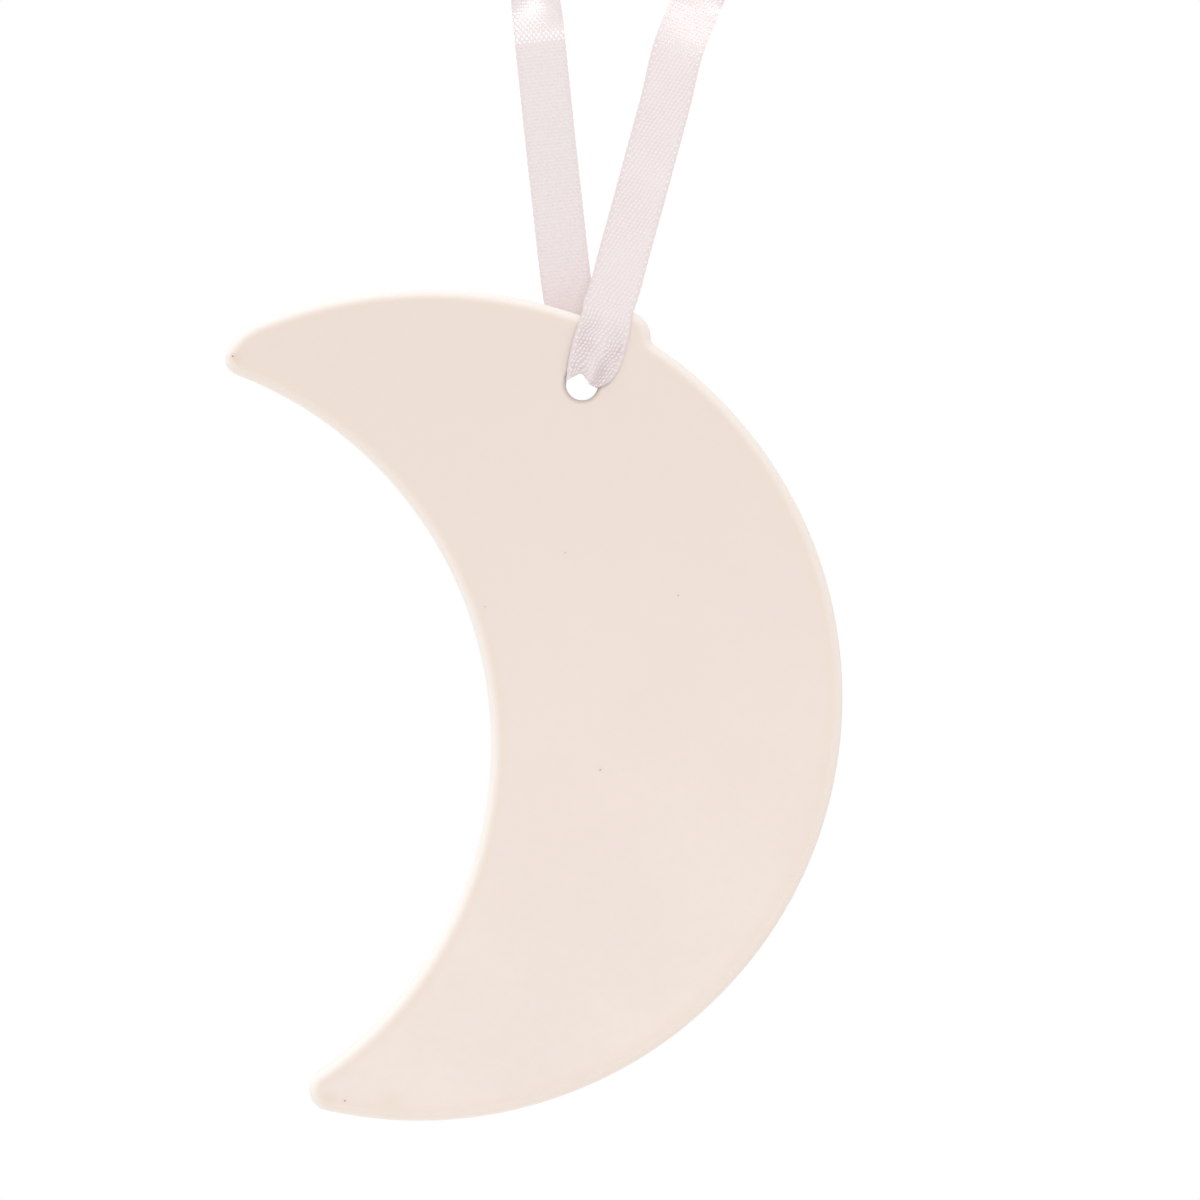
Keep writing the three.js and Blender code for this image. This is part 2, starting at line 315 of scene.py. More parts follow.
def evenly(rows, count):
    """The rows again, spaced evenly along their middle points."""
    length = lengths_along(middle_points(rows))[-1]
    return at_lengths(rows, np.linspace(0.0, length, count))


# Outline of the crescent: circles in the plane of the plaque, each touching the next

def polar(radius, angle):
    return Vector((radius * math.cos(angle), radius * math.sin(angle)))


def crossing(first, first_radius, second, second_radius, side):
    """Where two circles cross, on the chosen side of the line between their centres."""
    span = second - first
    along = (span.length**2 + first_radius**2 - second_radius**2) / (2 * span.length)
    away = math.sqrt(first_radius**2 - along**2)
    direction = span.normalized()
    return first + direction * along + Vector((-direction.y, direction.x)) * side * away


def outline_circles():
    """Centre, radius and whether it bulges outwards, clockwise from the crown."""
    outer = (Vector((0, 0)), OUTER_RADIUS, True)
    bay = (polar(OUTER_RADIUS - BAY_RADIUS - WAIST_WIDTH, CRESCENT_TILT), BAY_RADIUS, False)
    crown_centre = Vector((CROWN_SHIFT, -CROWN_EXTRA_RADIUS - CROWN_INSET))
    crown = (crown_centre, OUTER_RADIUS + CROWN_EXTRA_RADIUS, True)
    lug = (polar(OUTER_RADIUS - LUG_INSET, LUG_ANGLE), LUG_RADIUS, True)

    def root(edge, radius, side):
        return crossing(edge[0], edge[1] + radius, lug[0], LUG_RADIUS + radius, side), radius, False

    inside, reach = OUTER_RADIUS - LOWER_TIP_ROUND, BAY_RADIUS + LOWER_TIP_ROUND
    lower_tip = (crossing(outer[0], inside, bay[0], reach, 1), LOWER_TIP_ROUND, True)
    inside, reach = crown[1] - UPPER_TIP_DEPTH, BAY_RADIUS + UPPER_TIP_ROUND
    upper_tip = (crossing(crown[0], inside, bay[0], reach, -1), UPPER_TIP_ROUND, True)
    inside, reach = crown[1] - SHOULDER_RADIUS, SHOULDER_RADIUS - UPPER_TIP_ROUND
    shoulder = (crossing(crown[0], inside, upper_tip[0], reach, -1), SHOULDER_RADIUS, True)
    hidden_root = root(crown, LUG_HIDDEN_ROOT, 1)
    open_root = root(outer, LUG_ROOT, -1)
    return [crown, hidden_root, lug, open_root, outer, lower_tip, bay, upper_tip, shoulder]


def handover(circle, following):
    """The point where one circle of the outline hands over to the next."""
    inside = circle[2] == following[2] and circle[1] < following[1]
    direction = (following[0] - circle[0]).normalized()
    return circle[0] + direction * (-circle[1] if inside else circle[1])


def angle_of(vector):
    return math.atan2(vector.y, vector.x)


OUTLINE_CENTRE = Vector((HOLE.x, HOLE.z)) - polar(OUTER_RADIUS - HOLE_INSET, HOLE_ANGLE)


def on_plaque(point, depth):
    """A point of the outline's plane, at a depth, in the frame of the whole object."""
    place = point + OUTLINE_CENTRE
    return Vector((place.x, depth, place.y))


# The ceramic crescent

# The longest and the widest step along an arc of the outline, and how close points lie that are merged
LONGEST_STEP = 0.9 * MM
WIDEST_STEP = math.radians(9)
MERGE_DISTANCE = 0.02 * MM

# How nearly square on, how flat and how level with each other the faces of the front and the back are
SQUARE_ON = 0.9999
FLAT_WITHIN = 0.01 * MM
LEVEL_ANGLE = math.radians(1)

# Front and back are cut in a grid of squares; a face smaller than this share of a square is cut no further
FACE_GRID = 3.0 * MM
LEAST_SHARE = 0.6

# Loops laid inside the rim, and how finely the edge, the lip of the hole and the hole itself are rounded
RIM_LOOPS = (EDGE_ROUND + 0.2 * MM, 0.35 * MM)
EDGE_SEGMENTS = 8
LIP_SEGMENTS = 5
HOLE_SIDES = 72

# Fired clay is never quite flat: the size and the depth of its slow swell
SWELL_SIZE = 21.0 * MM
SWELL_DEPTH = 0.08 * MM
SMOOTH_ANGLE = math.radians(40)

# How closely the points lie from which the distance to the edge is measured
OUTLINE_SPACING = 0.1 * MM

# How strongly the edge is painted with a highlight on the whole, and how much more towards the left and the
# top, where the light is strongest
EDGE_HIGHLIGHT_STRENGTH = 0.62
EDGE_HIGHLIGHT_LEAN = Vector((-0.25, 0.35))


def arcs():
    """Centre, radius, first angle and sweep of each arc of the outline; a sweep below nought is clockwise."""
    circles = outline_circles()
    found = []
    for number, (centre, radius, bulges) in enumerate(circles):
        following = circles[(number + 1) % len(circles)]
        first = angle_of(handover(circles[number - 1], circles[number]) - centre)
        last = angle_of(handover(circles[number], following) - centre)
        sweep = -((first - last) % math.tau) if bulges else (last - first) % math.tau
        found.append((centre, radius, first, sweep))
    return found


def draw_outline(depth):
    """One vertex is spun round each circle of the outline in turn."""
    centre, radius, first, _ = arcs()[0]
    place = on_plaque(centre + polar(radius, first), depth)
    bpy.ops.mesh.primitive_plane_add(size=LONGEST_STEP, location=place)
    crescent = start("ceramic_crescent")
    settle(crescent)
    editing(crescent, "VERT")
    bpy.ops.mesh.select_all(action="SELECT")
    bpy.ops.mesh.merge(type="CENTER")
    for centre, radius, _, sweep in arcs():
        steps = math.ceil(max(abs(sweep) * radius / LONGEST_STEP, abs(sweep) / WIDEST_STEP))
        bpy.ops.mesh.spin(steps=steps, angle=sweep, center=on_plaque(centre, depth), axis=(0, 1, 0))
    bpy.ops.mesh.select_all(action="SELECT")
    bpy.ops.mesh.remove_doubles(threshold=MERGE_DISTANCE)
    return crescent


def outline_tree():
    """Closely spaced points of the outline, ready to be searched, and which way the edge faces at each."""
    spots, facings = [], []
    for centre, radius, first, sweep in arcs():
        count = math.ceil(abs(sweep) * radius / OUTLINE_SPACING)
        for angle in np.linspace(first, first + sweep, count):
            spots.append(on_plaque(centre + polar(radius, angle), 0.0))
            facings.append(polar(1 if sweep < 0 else -1, angle))
    tree = KDTree(len(spots))
    for number, spot in enumerate(spots):
        tree.insert(spot, number)
    tree.balance()
    return tree, facings


def pick_rims(piece, at_hole):
    """In edit mode, selects the sharp edges round the outline, or else those round the hole."""
    bpy.ops.mesh.select_all(action="DESELECT")
    bpy.ops.mesh.edges_select_sharp(sharpness=SHARP_ANGLE)
    bpy.ops.object.mode_set(mode="OBJECT")
    for edge in piece.data.edges:
        ends = [piece.data.vertices[index].co - HOLE for index in edge.vertices]
        near = all(math.hypot(end.x, end.z) < HOLE_RADIUS + HOLE_LIP for end in ends)
        edge.select = edge.select and near == at_hole
    bpy.ops.object.mode_set(mode="EDIT")


def on_front_or_back(face):
    return abs(face.normal.y) > SQUARE_ON and abs(abs(face.center.y) - THICKNESS / 2) < FLAT_WITHIN


def worth_cutting(face):
    return on_front_or_back(face) and face.area > LEAST_SHARE * FACE_GRID**2


def make_crescent():
    crescent = draw_outline(-THICKNESS / 2)
    bpy.ops.mesh.primitive_circle_add(
        vertices=HOLE_SIDES,
        radius=HOLE_RADIUS,
        location=(HOLE.x, -THICKNESS / 2, HOLE.z),
        rotation=(math.pi / 2, 0, 0),
    )

    # The outline is filled round the hole and drawn out to the slab's thickness
    bpy.ops.mesh.select_all(action="SELECT")
    bpy.ops.mesh.fill(use_beauty=True)
    bpy.ops.mesh.select_all(action="SELECT")
    bpy.ops.mesh.extrude_region_move(TRANSFORM_OT_translate={"value": (0, THICKNESS, 0)})
    bpy.ops.mesh.select_all(action="SELECT")
    bpy.ops.mesh.normals_make_consistent(inside=False)

    # Loops inside the rim, then a grid over the front and the back
    bpy.ops.mesh.select_mode(type="FACE")
    pick(crescent, on_front_or_back)
    for width in RIM_LOOPS:
        bpy.ops.mesh.inset(thickness=width, depth=0, use_boundary=True, use_even_offset=True)
    bpy.ops.mesh.dissolve_limited(angle_limit=LEVEL_ANGLE)
    for direction, low, high in (
        (Vector((1, 0, 0)), PLAQUE_LOW.x, PLAQUE_HIGH.x),
        (Vector((0, 0, 1)), PLAQUE_LOW.z, PLAQUE_HIGH.z),
    ):
        for line in np.arange(low + FACE_GRID / 2, high, FACE_GRID):
            pick(crescent, worth_cutting)
            bpy.ops.mesh.bisect(plane_co=direction * float(line), plane_no=direction, use_fill=False)

    # The edge and the lip of the hole are rounded
    bpy.ops.mesh.select_mode(type="EDGE")
    for size, segments, at_hole in ((EDGE_ROUND, EDGE_SEGMENTS, False), (HOLE_LIP, LIP_SEGMENTS, True)):
        pick_rims(crescent, at_hole)
        bpy.ops.mesh.bevel(offset=size, segments=segments, profile=0.5, clamp_overlap=False)
    deselect_all()
    return crescent


def finish_crescent(crescent):
    """The faint swell of fired clay, smooth shading, how far each point is from the edge, and how strong the
    painted highlight on the edge is there.
    """
    swell = bpy.data.textures.new("slow_swell", "CLOUDS")
    swell.noise_scale = SWELL_SIZE
    swell.noise_depth = 1
    uneven = crescent.modifiers.new("uneven", "DISPLACE")
    uneven.texture = swell
    uneven.texture_coords = "LOCAL"
    uneven.mid_level = 0.5
    uneven.strength = SWELL_DEPTH
    apply_modifiers(crescent)
    bpy.ops.object.shade_smooth_by_angle(angle=SMOOTH_ANGLE)
    mesh = crescent.data
    tree, facings = outline_tree()
    nearest = [tree.find(Vector((vertex.co.x, 0.0, vertex.co.z))) for vertex in mesh.vertices]
    distance = mesh.attributes.new("edge_distance", "FLOAT", "POINT")
    distance.data.foreach_set("value", [away / MM for _, _, away in nearest])
    # How strongly each point of the rim is painted with a highlight, more where it faces left and up
    painted_highlight = mesh.attributes.new("edge_highlight", "FLOAT", "POINT")
    painted_highlight.data.foreach_set("value", [EDGE_HIGHLIGHT_STRENGTH + EDGE_HIGHLIGHT_LEAN.dot(facings[number]) for _, number, _ in nearest])


# The satin ribbon

# How many steps a curve is drawn with between two given points: down a leg or a tail, across a row, and from
# row to row; how finely a leg's line is then divided, and how many rows lie on it
LINE_STEPS = 24
ROW_STEPS = 8
SURFACE_STEPS = 10
LEG_POINTS = 800
LEG_ROWS = 70

# Nothing is pushed off the ceramic higher over the hole than this, where the ribbon has left it
CLEAR_HEIGHT = 11.5 * MM


def lean_back(height, leg):
    """How much further back than in the model a leg lies at a height, where it leans back near its top."""
    start, softness = LEAN_START[leg], LEAN_SOFTNESS[leg]
    risen = min(height, LEAN_END) - start
    if risen <= 0:
        return 0.0
    climb = risen**2 / (2 * softness) if risen < softness else risen - softness / 2
    return climb * LEAN_SLOPE[leg] * (1 - smooth_step(height, LEAN_END, LEAN_GONE))


def leg_rows(route, leg):
    """Rows across a leg from its left edge to its right edge, from just over the hole up into the knot."""
    inside_knot = (LEG_DRAWN_IN * route[-1][0], 0.0, route[-1][2] + LEG_IN_KNOT)
    line = evenly(curve_through(np.array(route + [inside_knot]) * MM, LINE_STEPS), LEG_POINTS)
    face = THICKNESS / 2
    for point in line:
        over = max(0.0, abs(point[1]) - face) * (1 - ON_FACE_SHARE)
        point[1] += lean_back(point[2], leg) - math.copysign(over, point[1])
    forward = unit(np.gradient(line, axis=0))
    along = lengths_along(line)
    shares = np.linspace(-1, 1, len(HOLE_ROWS[0]))
    keep = [i for i in range(len(line)) if line[i, 2] - HOLE.z > LEG_ROWS_START[leg] * MM]
    rows = []
    for i in np.linspace(keep[0], keep[-1], LEG_ROWS).round().astype(int):
        turned = smooth_step(line[i, 2], TWIST_START[leg], TWIST_END) * math.pi / 2
        level = unit(np.cross((0.0, 1.0, 0.0), forward[i]))
        upright = np.cross(forward[i], level)
        right = level * math.cos(turned) + upright * math.sin(turned)
        gather = smooth_step(along[-1] - along[i], 0.0, GATHER_LENGTH)
        half = (GATHERED_WIDTH + (RIBBON_WIDTH - GATHERED_WIDTH) * gather) / 2
        rows.append([line[i] + right * half * share for share in shares])
    return rows


def clear_of_ceramic(points):
    """Moves points near the hole out of the ceramic, round the softened lip of the hole."""
    gap = RIBBON_THICKNESS / 2 + RIBBON_GAP

    # How far each point is past the middle of the lip's round, towards the hole's axis and off the face, and
    # so how far away it is from the ceramic
    place = points - np.array(HOLE)
    radius = np.maximum(np.hypot(place[..., 0], place[..., 2]), TINY)
    depth = np.abs(place[..., 1])
    inward = (HOLE_RADIUS + HOLE_LIP) - radius
    outward = depth - (THICKNESS / 2 - HOLE_LIP)
    reach = np.hypot(np.maximum(inward, 0), np.maximum(outward, 0))
    away = reach + np.minimum(np.maximum(inward, outward), 0) - HOLE_LIP

    # It is pushed out the shortest way, by what it lacks
    push = np.maximum(gap - away, 0)
    corner = reach > TINY
    scale = np.where(corner, 1 / np.maximum(reach, TINY), 0)
    inward_share = np.where(corner, np.maximum(inward, 0) * scale, (inward > outward) * 1.0)
    outward_share = np.where(corner, np.maximum(outward, 0) * scale, (inward <= outward) * 1.0)
    push = np.where(place[..., 2] > CLEAR_HEIGHT, 0, push)
    moved = points.copy()
    moved[..., 0] -= place[..., 0] / radius * inward_share * push
    moved[..., 2] -= place[..., 2] / radius * inward_share * push
    moved[..., 1] += np.sign(place[..., 1]) * outward_share * push
    return moved


def ribbon_surface():
    """The ribbon's middle surface, from the knot down the front, through the hole and up the back, with its
    length and how far along it the hole is."""
    front = leg_rows(FRONT_ROUTE, "front")[::-1]
    back = leg_rows(BACK_ROUTE, "back")
    hole = [[np.array(point) * MM + np.array(HOLE) for point in row] for row in HOLE_ROWS]
    rows = [evenly(curve_through(row, ROW_STEPS), RIBBON_COLUMNS + 1) for row in front + hole + back]
    surface = curve_through(np.array(rows), SURFACE_STEPS)
    length = lengths_along(middle_points(surface))[-1]
    surface = clear_of_ceramic(evenly(surface, round(length / RIBBON_STEP) + 1))
    centre = middle_points(surface)
    along = lengths_along(centre)
    hole_at = along[np.argmin(centre[:, 2])]
    swell = SELVEDGE_SWELL * np.sin(2 * np.pi * along / SELVEDGE_PITCH)
    for edge, inner in ((0, 1), (-1, -2)):
        outward = unit(surface[:, edge] - surface[:, inner])
        surface[:, edge] += outward * swell[:, None]
    return surface, along[-1], hole_at


def lay_grid(name, surface):
    """A grid primitive whose corners are laid on the rows and columns of a surface."""
    steps, columns = surface.shape[0] - 1, surface.shape[1] - 1
    bpy.ops.mesh.primitive_grid_add(x_subdivisions=columns, y_subdivisions=steps, size=1, calc_uvs=True)
    piece = start(name)
    for vertex in piece.data.vertices:
        column = round((vertex.co.x + 0.5) * columns)
        step = round((vertex.co.y + 0.5) * steps)
        vertex.co = surface[step, column]
    editing(piece, "FACE")
    bpy.ops.mesh.select_all(action="SELECT")
    bpy.ops.mesh.flip_normals()
    deselect_all()
    return piece


def thicken(piece, thickness):
    """Gives a sheet its thickness, half to each side; its second material goes on its back."""
    thick = piece.modifiers.new("thickness", "SOLIDIFY")
    thick.thickness = thickness
    thick.offset = 0
    thick.material_offset = 1
    thick.material_offset_rim = 0
    apply_modifiers(piece)


def ribbon_strip(name, surface, face, reverse):
    """A strip of ribbon with its thickness, its satin face and its duller reverse."""
    piece = lay_grid(name, surface)
    piece.data.materials.append(face)
    piece.data.materials.append(reverse)
    thicken(piece, RIBBON_THICKNESS)
    bpy.ops.object.shade_smooth_by_angle(angle=SHARP_ANGLE)
    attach(piece, "ribbon")
    return piece


# The knot and its tails

# The knot is a rounded core with bands of ribbon drawn tight over it: its half sizes, how far a band stands
# out, how thick it is made so that it sinks into the core, how deep its pleats are and how many it has, and
# how far its edges sink in; lengths in millimetres
KNOT_CORE = (2.0, 1.5, 2.3)
BAND_LIFT = 0.14
BAND_THICKNESS = 0.6
BAND_PLEAT = 0.06
BAND_PLEATS = 3
BAND_SINK = 0.12

# How finely the core and the bands are laid, and the grain of the skin that fuses them
CORE_SEGMENTS = 64
CORE_RINGS = 32
BAND_CURVE_STEPS = 12
BAND_STEPS = 72
BAND_COLUMNS = 24
KNOT_VOXEL = 0.09 * MM

# Each band: how far out it lies over the one below, how wide it is, and points that it runs over
KNOT_BANDS = [
    (0.0, 2.6, [(-0.9, -0.5, -2.4), (-1.5, -1.2, -1.2), (-0.9, -1.9, 0.2), (0.2, -1.5, 1.4),
                (0.6, -0.5, 2.4)]),
    (0.0, 2.6, [(0.9, 0.5, -2.4), (1.5, 1.2, -1.2), (0.9, 1.9, 0.2), (-0.2, 1.5, 1.4),
                (-0.6, 0.5, 2.4)]),
    (0.34, 2.1, [(-2.4, 0.0, 1.0), (-1.6, -1.5, 0.8), (0.0, -2.0, 0.1), (1.6, -1.4, -0.5),
                 (2.4, 0.0, -0.8), (1.6, 1.5, -0.4), (0.0, 2.0, 0.2), (-1.6, 1.4, 0.8),
                 (-2.4, 0.0, 1.0)]),
    (0.56, 1.5, [(1.2, -1.2, -2.0), (1.5, -1.5, -1.0), (1.1, -2.0, 0.2), (0.3, -1.9, 1.2),
                 (-0.6, -0.9, 2.0)]),
]

# The tails: how wide they open and over which stretch, how much shorter one edge is cut than the other, how
# far their edges curl, how they are pleated where they leave the knot, and how finely they are laid
TAIL_LENGTH = 13.0 * MM
TAIL_WIDTH = 5.8 * MM
TAIL_OPENING = (0.5 * MM, 6.0 * MM)
TAIL_SLANT = 0.13
TAIL_CURL = 0.5 * MM
TAIL_PLEAT = 0.45 * MM
TAIL_PLEATS = 2.5
TAIL_POINTS = 200
TAIL_COLUMNS = 16

# The tails' lines from inside the knot to their cut ends, in millimetres
LEFT_TAIL_ROUTE = [(-0.5, 0.4, 5.2), (-0.9, 0.5, 6.8), (-2.1, 0.6, 8.6), (-4.4, 0.2, 11.0),
                   (-7.6, -0.5, 12.6), (-10.4, -1.1, 13.0)]
RIGHT_TAIL_ROUTE = [(0.5, -0.4, 5.2), (0.9, -0.5, 6.8), (1.9, -0.6, 9.0), (3.3, -0.2, 12.0),
                    (5.4, 0.6, 15.0), (7.9, 1.3, 17.4)]


def band_surface(points, width, lift, middle):
    """A pleated band drawn tight over the knot's core, its edges sunk into what it lies on."""
    line = evenly(curve_through(np.array(points), BAND_CURVE_STEPS), BAND_STEPS)
    across = unit(np.cross(np.gradient(line, axis=0), line))
    rows = []
    for share in np.linspace(-1, 1, BAND_COLUMNS + 1):
        place = line + across * share * width / 2
        reach = 1 / np.linalg.norm(place / np.array(KNOT_CORE), axis=1)
        pleat = BAND_PLEAT * math.cos(BAND_PLEATS * math.pi * share)
        raised = BAND_LIFT + lift + pleat - BAND_SINK * share**4
        rows.append(place * reach[:, None] + unit(place) * raised)
    return np.stack(rows, axis=1) * MM + np.array(middle)


def make_knot():
    middle = (KNOT_LOW + KNOT_HIGH) / 2
    bpy.ops.mesh.primitive_uv_sphere_add(
        segments=CORE_SEGMENTS, ring_count=CORE_RINGS, radius=1.0, location=middle
    )
    knot = start("ribbon_knot_tied")
    knot.scale = [size * MM for size in KNOT_CORE]
    settle(knot)
    bands = []
    for number, (lift, width, points) in enumerate(KNOT_BANDS):
        band = lay_grid(f"knot_band_{number}", band_surface(points, width, lift, middle))
        thicken(band, BAND_THICKNESS * MM)
        bands.append(band)
    deselect_all()
    for piece in bands + [knot]:
        piece.select_set(True)
    bpy.context.view_layer.objects.active = knot
    bpy.ops.object.join()
    fused = knot.modifiers.new("fused", "REMESH")
    fused.mode = "VOXEL"
    fused.voxel_size = KNOT_VOXEL
    soft = knot.modifiers.new("soft", "SMOOTH")
    soft.factor = 0.5
    soft.iterations = 2
    apply_modifiers(knot)
    bpy.ops.object.shade_smooth()
    return knot


def tail_surface(route):
    """A cut end of ribbon, gathered where it leaves the knot and cut off at a slant."""
    line = evenly(curve_through(np.array(route) * MM, LINE_STEPS), TAIL_POINTS)
    length = lengths_along(line)[-1]
    steps = round(length / RIBBON_STEP)
    columns = []
    for share in np.linspace(-1, 1, TAIL_COLUMNS + 1):
        wanted = np.linspace(0.0, length * (1 - TAIL_SLANT * (share + 1) / 2), steps + 1)
        place = at_lengths(line, wanted)
        level = unit(np.cross((0.0, 1.0, 0.0), np.gradient(place, axis=0)))
        opened = np.array([smooth_step(value, *TAIL_OPENING) for value in wanted])
        half = (GATHERED_WIDTH + (TAIL_WIDTH - GATHERED_WIDTH) * opened) / 2
        pleat = TAIL_PLEAT * math.cos(TAIL_PLEATS * math.pi * share) * (1 - opened)
        place = place + level * (half * share)[:, None]
        place[:, 1] += pleat + TAIL_CURL * share**2 * opened
        columns.append(place)
    return np.stack(columns, axis=1)


# Materials

def linear(red, green, blue):
    """A colour written as it looks, from 0 to 255, in the shader's own scale."""
    def one(value):
        value /= 255
        return value / 12.92 if value <= 0.04045 else ((value + 0.055) / 1.055) ** 2.4
    return one(red), one(green), one(blue), 1.0


WHITE = (1.0, 1.0, 1.0, 1.0)


class Nodes:
    """A tree of shader nodes; a method that adds some gives the socket where they end."""

    def __init__(self, tree):
        self.tree = tree

    def feed(self, socket, value):
        """Links another node's output into a socket, or writes a plain value on it."""
        if isinstance(value, bpy.types.NodeSocket):
            self.tree.links.new(value, socket)
        else:
            socket.default_value = value

    def node(self, kind, *values, output=0, settings=(), **named):
        """A new node, its first sockets fed with the values in order and others by name."""
        made = self.tree.nodes.new(kind)
        for key, value in dict(settings).items():
            setattr(made, key, value)
        for socket, value in list(enumerate(values)) + list(named.items()):
            self.feed(made.inputs[socket], value)
        return made.outputs[output]

    def maths(self, operation, *values):
        return self.node("ShaderNodeMath", *values, settings={"operation": operation})

    def vectors(self, operation, *values, output="Value"):
        settings = {"operation": operation}
        return self.node("ShaderNodeVectorMath", *values, output=output, settings=settings)

    def plus(self, first, second):
        return self.maths("ADD", first, second)

    def minus(self, first, second):
        return self.maths("SUBTRACT", first, second)

    def over(self, first, second):
        return self.maths("DIVIDE", first, second)

    def times(self, first, *others):
        for other in others:
            first = self.maths("MULTIPLY", first, other)
        return first

    def far_from(self, value, middle):
        return self.maths("ABSOLUTE", self.minus(value, middle))

    def between(self, value, low, high, to_low=0.0, to_high=1.0):
        """Passes softly from one strength to another while the value rises from low to high."""
        settings = {"interpolation_type": "SMOOTHSTEP"}
        return self.node("ShaderNodeMapRange", value, low, high, to_low, to_high, settings=settings)

    def fading(self, value, low, high, strength=1.0):
        return self.between(value, low, high, strength, 0.0)

    def wave(self, angle):
        """Rises and falls softly between 0 and 1."""
        return self.between(self.maths("SINE", angle), -1.0, 1.0)

    def mix(self, share, first, second):
        """Two colours mixed; a mix node takes its colours on the sockets 6 and 7 and gives one on 2."""
        made = self.tree.nodes.new("ShaderNodeMix")
        made.data_type = "RGBA"
        for number, value in ((0, share), (6, first), (7, second)):
            self.feed(made.inputs[number], value)
        return made.outputs[2]

    def place(self):
        return self.node("ShaderNodeTexCoord", output="Object")

    def parts(self, vector):
        """The x, y and z of a vector."""
        made = self.tree.nodes.new("ShaderNodeSeparateXYZ")
        self.feed(made.inputs[0], vector)
        return made.outputs

    def attribute(self, name):
        return self.node("ShaderNodeAttribute", output="Fac", settings={"attribute_name": name})

    def noise(self, scale, detail, roughness=0.5):
        inputs = {"Vector": self.place(), "Scale": scale, "Detail": detail, "Roughness": roughness}
        return self.node("ShaderNodeTexNoise", **inputs)


class Finish(Nodes):
    """A material and the nodes that make its pattern."""

    def __init__(self, name, colour, roughness, specular):
        self.material = bpy.data.materials.new(name)
        self.material.use_nodes = True
        super().__init__(self.material.node_tree)
        self.shader = next(n for n in self.tree.nodes if n.type == "BSDF_PRINCIPLED")
        self.set("Base Color", colour)
        self.set("Roughness", roughness)
        self.set("Specular IOR Level", specular)

    def set(self, name, value):
        self.feed(self.shader.inputs[name], value)

    def relief(self, height, distance, strength):
        normal = self.node("ShaderNodeBump", Height=height, Distance=distance, Strength=strength)
        self.set("Normal", normal)


# The clay is painted lighter at the bottom and darker at the top: painted shade
BISQUE_SHADED_TOP = linear(237, 222, 213)
BISQUE_LIT_BOTTOM = linear(244, 231, 222)
BISQUE_CLOUD = linear(237, 223, 214)
# Painted shade: a warmer, darker band just inside the rounded edge
BISQUE_WARM_SHADE = linear(240, 223, 208)
# A painted highlight on the rounded edge
BISQUE_PAINTED_HIGHLIGHT = linear(254, 248, 242)
# Painted shade in the tiny pits
PIT_SHADE = linear(120, 100, 92)
PIT_HALO_SHADE = linear(228, 210, 198)
RIM_SHADE = linear(206, 193, 184)
STAIN = linear(236, 213, 192)
SATIN = linear(241, 230, 229)
# Painted shade in the weave's hollows and on the selvedge
SATIN_SHADE = linear(230, 216, 216)
# Painted highlights on the floats and on the selvedge loops
SATIN_GLINT = linear(249, 240, 239)
# Painted shade where the ribbon is drawn into the hole and along its crease
SATIN_DEEP_SHADE = linear(204, 184, 186)
REVERSE = linear(239, 228, 228)
# Painted shade in the reverse's ribs and mesh and on its selvedge
REVERSE_SHADE = linear(233, 219, 221)

# Faint warm stains on the front face: place in millimetres right and up from the middle of the hole, size,
# strength
STAINS = [(-43.5, 3.3, 1.2, 0.6), (-28.9, -77.7, 0.6, 0.8), (-31.8, -89.8, 1.5, 0.3),
          (-24.0, -90.0, 2.5, 0.2)]

# Tiny pits in the front face, drawn only in colour: place and size as above; the sizes, in sizes of the pit,
# of their faint darker halo and their dark heart, both painted shade
PITS = [(-43.9, 3.5, 0.16), (-29.8, -90.1, 0.15), (2.3, -48.5, 0.13), (12.1, -26.6, 0.10),
        (-2.1, -21.2, 0.08), (-12.2, -28.0, 0.08)]
PIT_HALO = 4.0
PIT_HEART = 0.3

# Clouds and specks in the clay: scale and detail of the noise, and strength
CLOUDS = ((60.0, 3.0, 0.35), (700.0, 2.0, 0.15))
CLOUD_RANGE = (0.35, 0.65)

# Distances from the edge, in millimetres, over which the warm painted shade and the painted highlight fade;
# and how far below the nearer face, in edge radii, the painted highlight is weakest and at its full strength
WARM_SHADE_BAND = (1.2, 2.8)
HIGHLIGHT_FADE = (0.2, 1.5)
HIGHLIGHT_DEPTH = (1.4, 0.6)

# The shade round the rim of the hole
HOLE_SHADE = (HOLE_RADIUS + 0.12 * MM, HOLE_RADIUS + 0.7 * MM)


def away_from(finish, x, z, flat=False):
    """How far a point is from a spot on the front face, or else from the line straight through that spot."""
    place = finish.place()
    if flat:
        place = finish.vectors("MULTIPLY", place, (1.0, 0.0, 1.0), output="Vector")
    spot = (HOLE.x + x * MM, 0.0 if flat else -THICKNESS / 2, HOLE.z + z * MM)
    return finish.vectors("DISTANCE", place, spot)


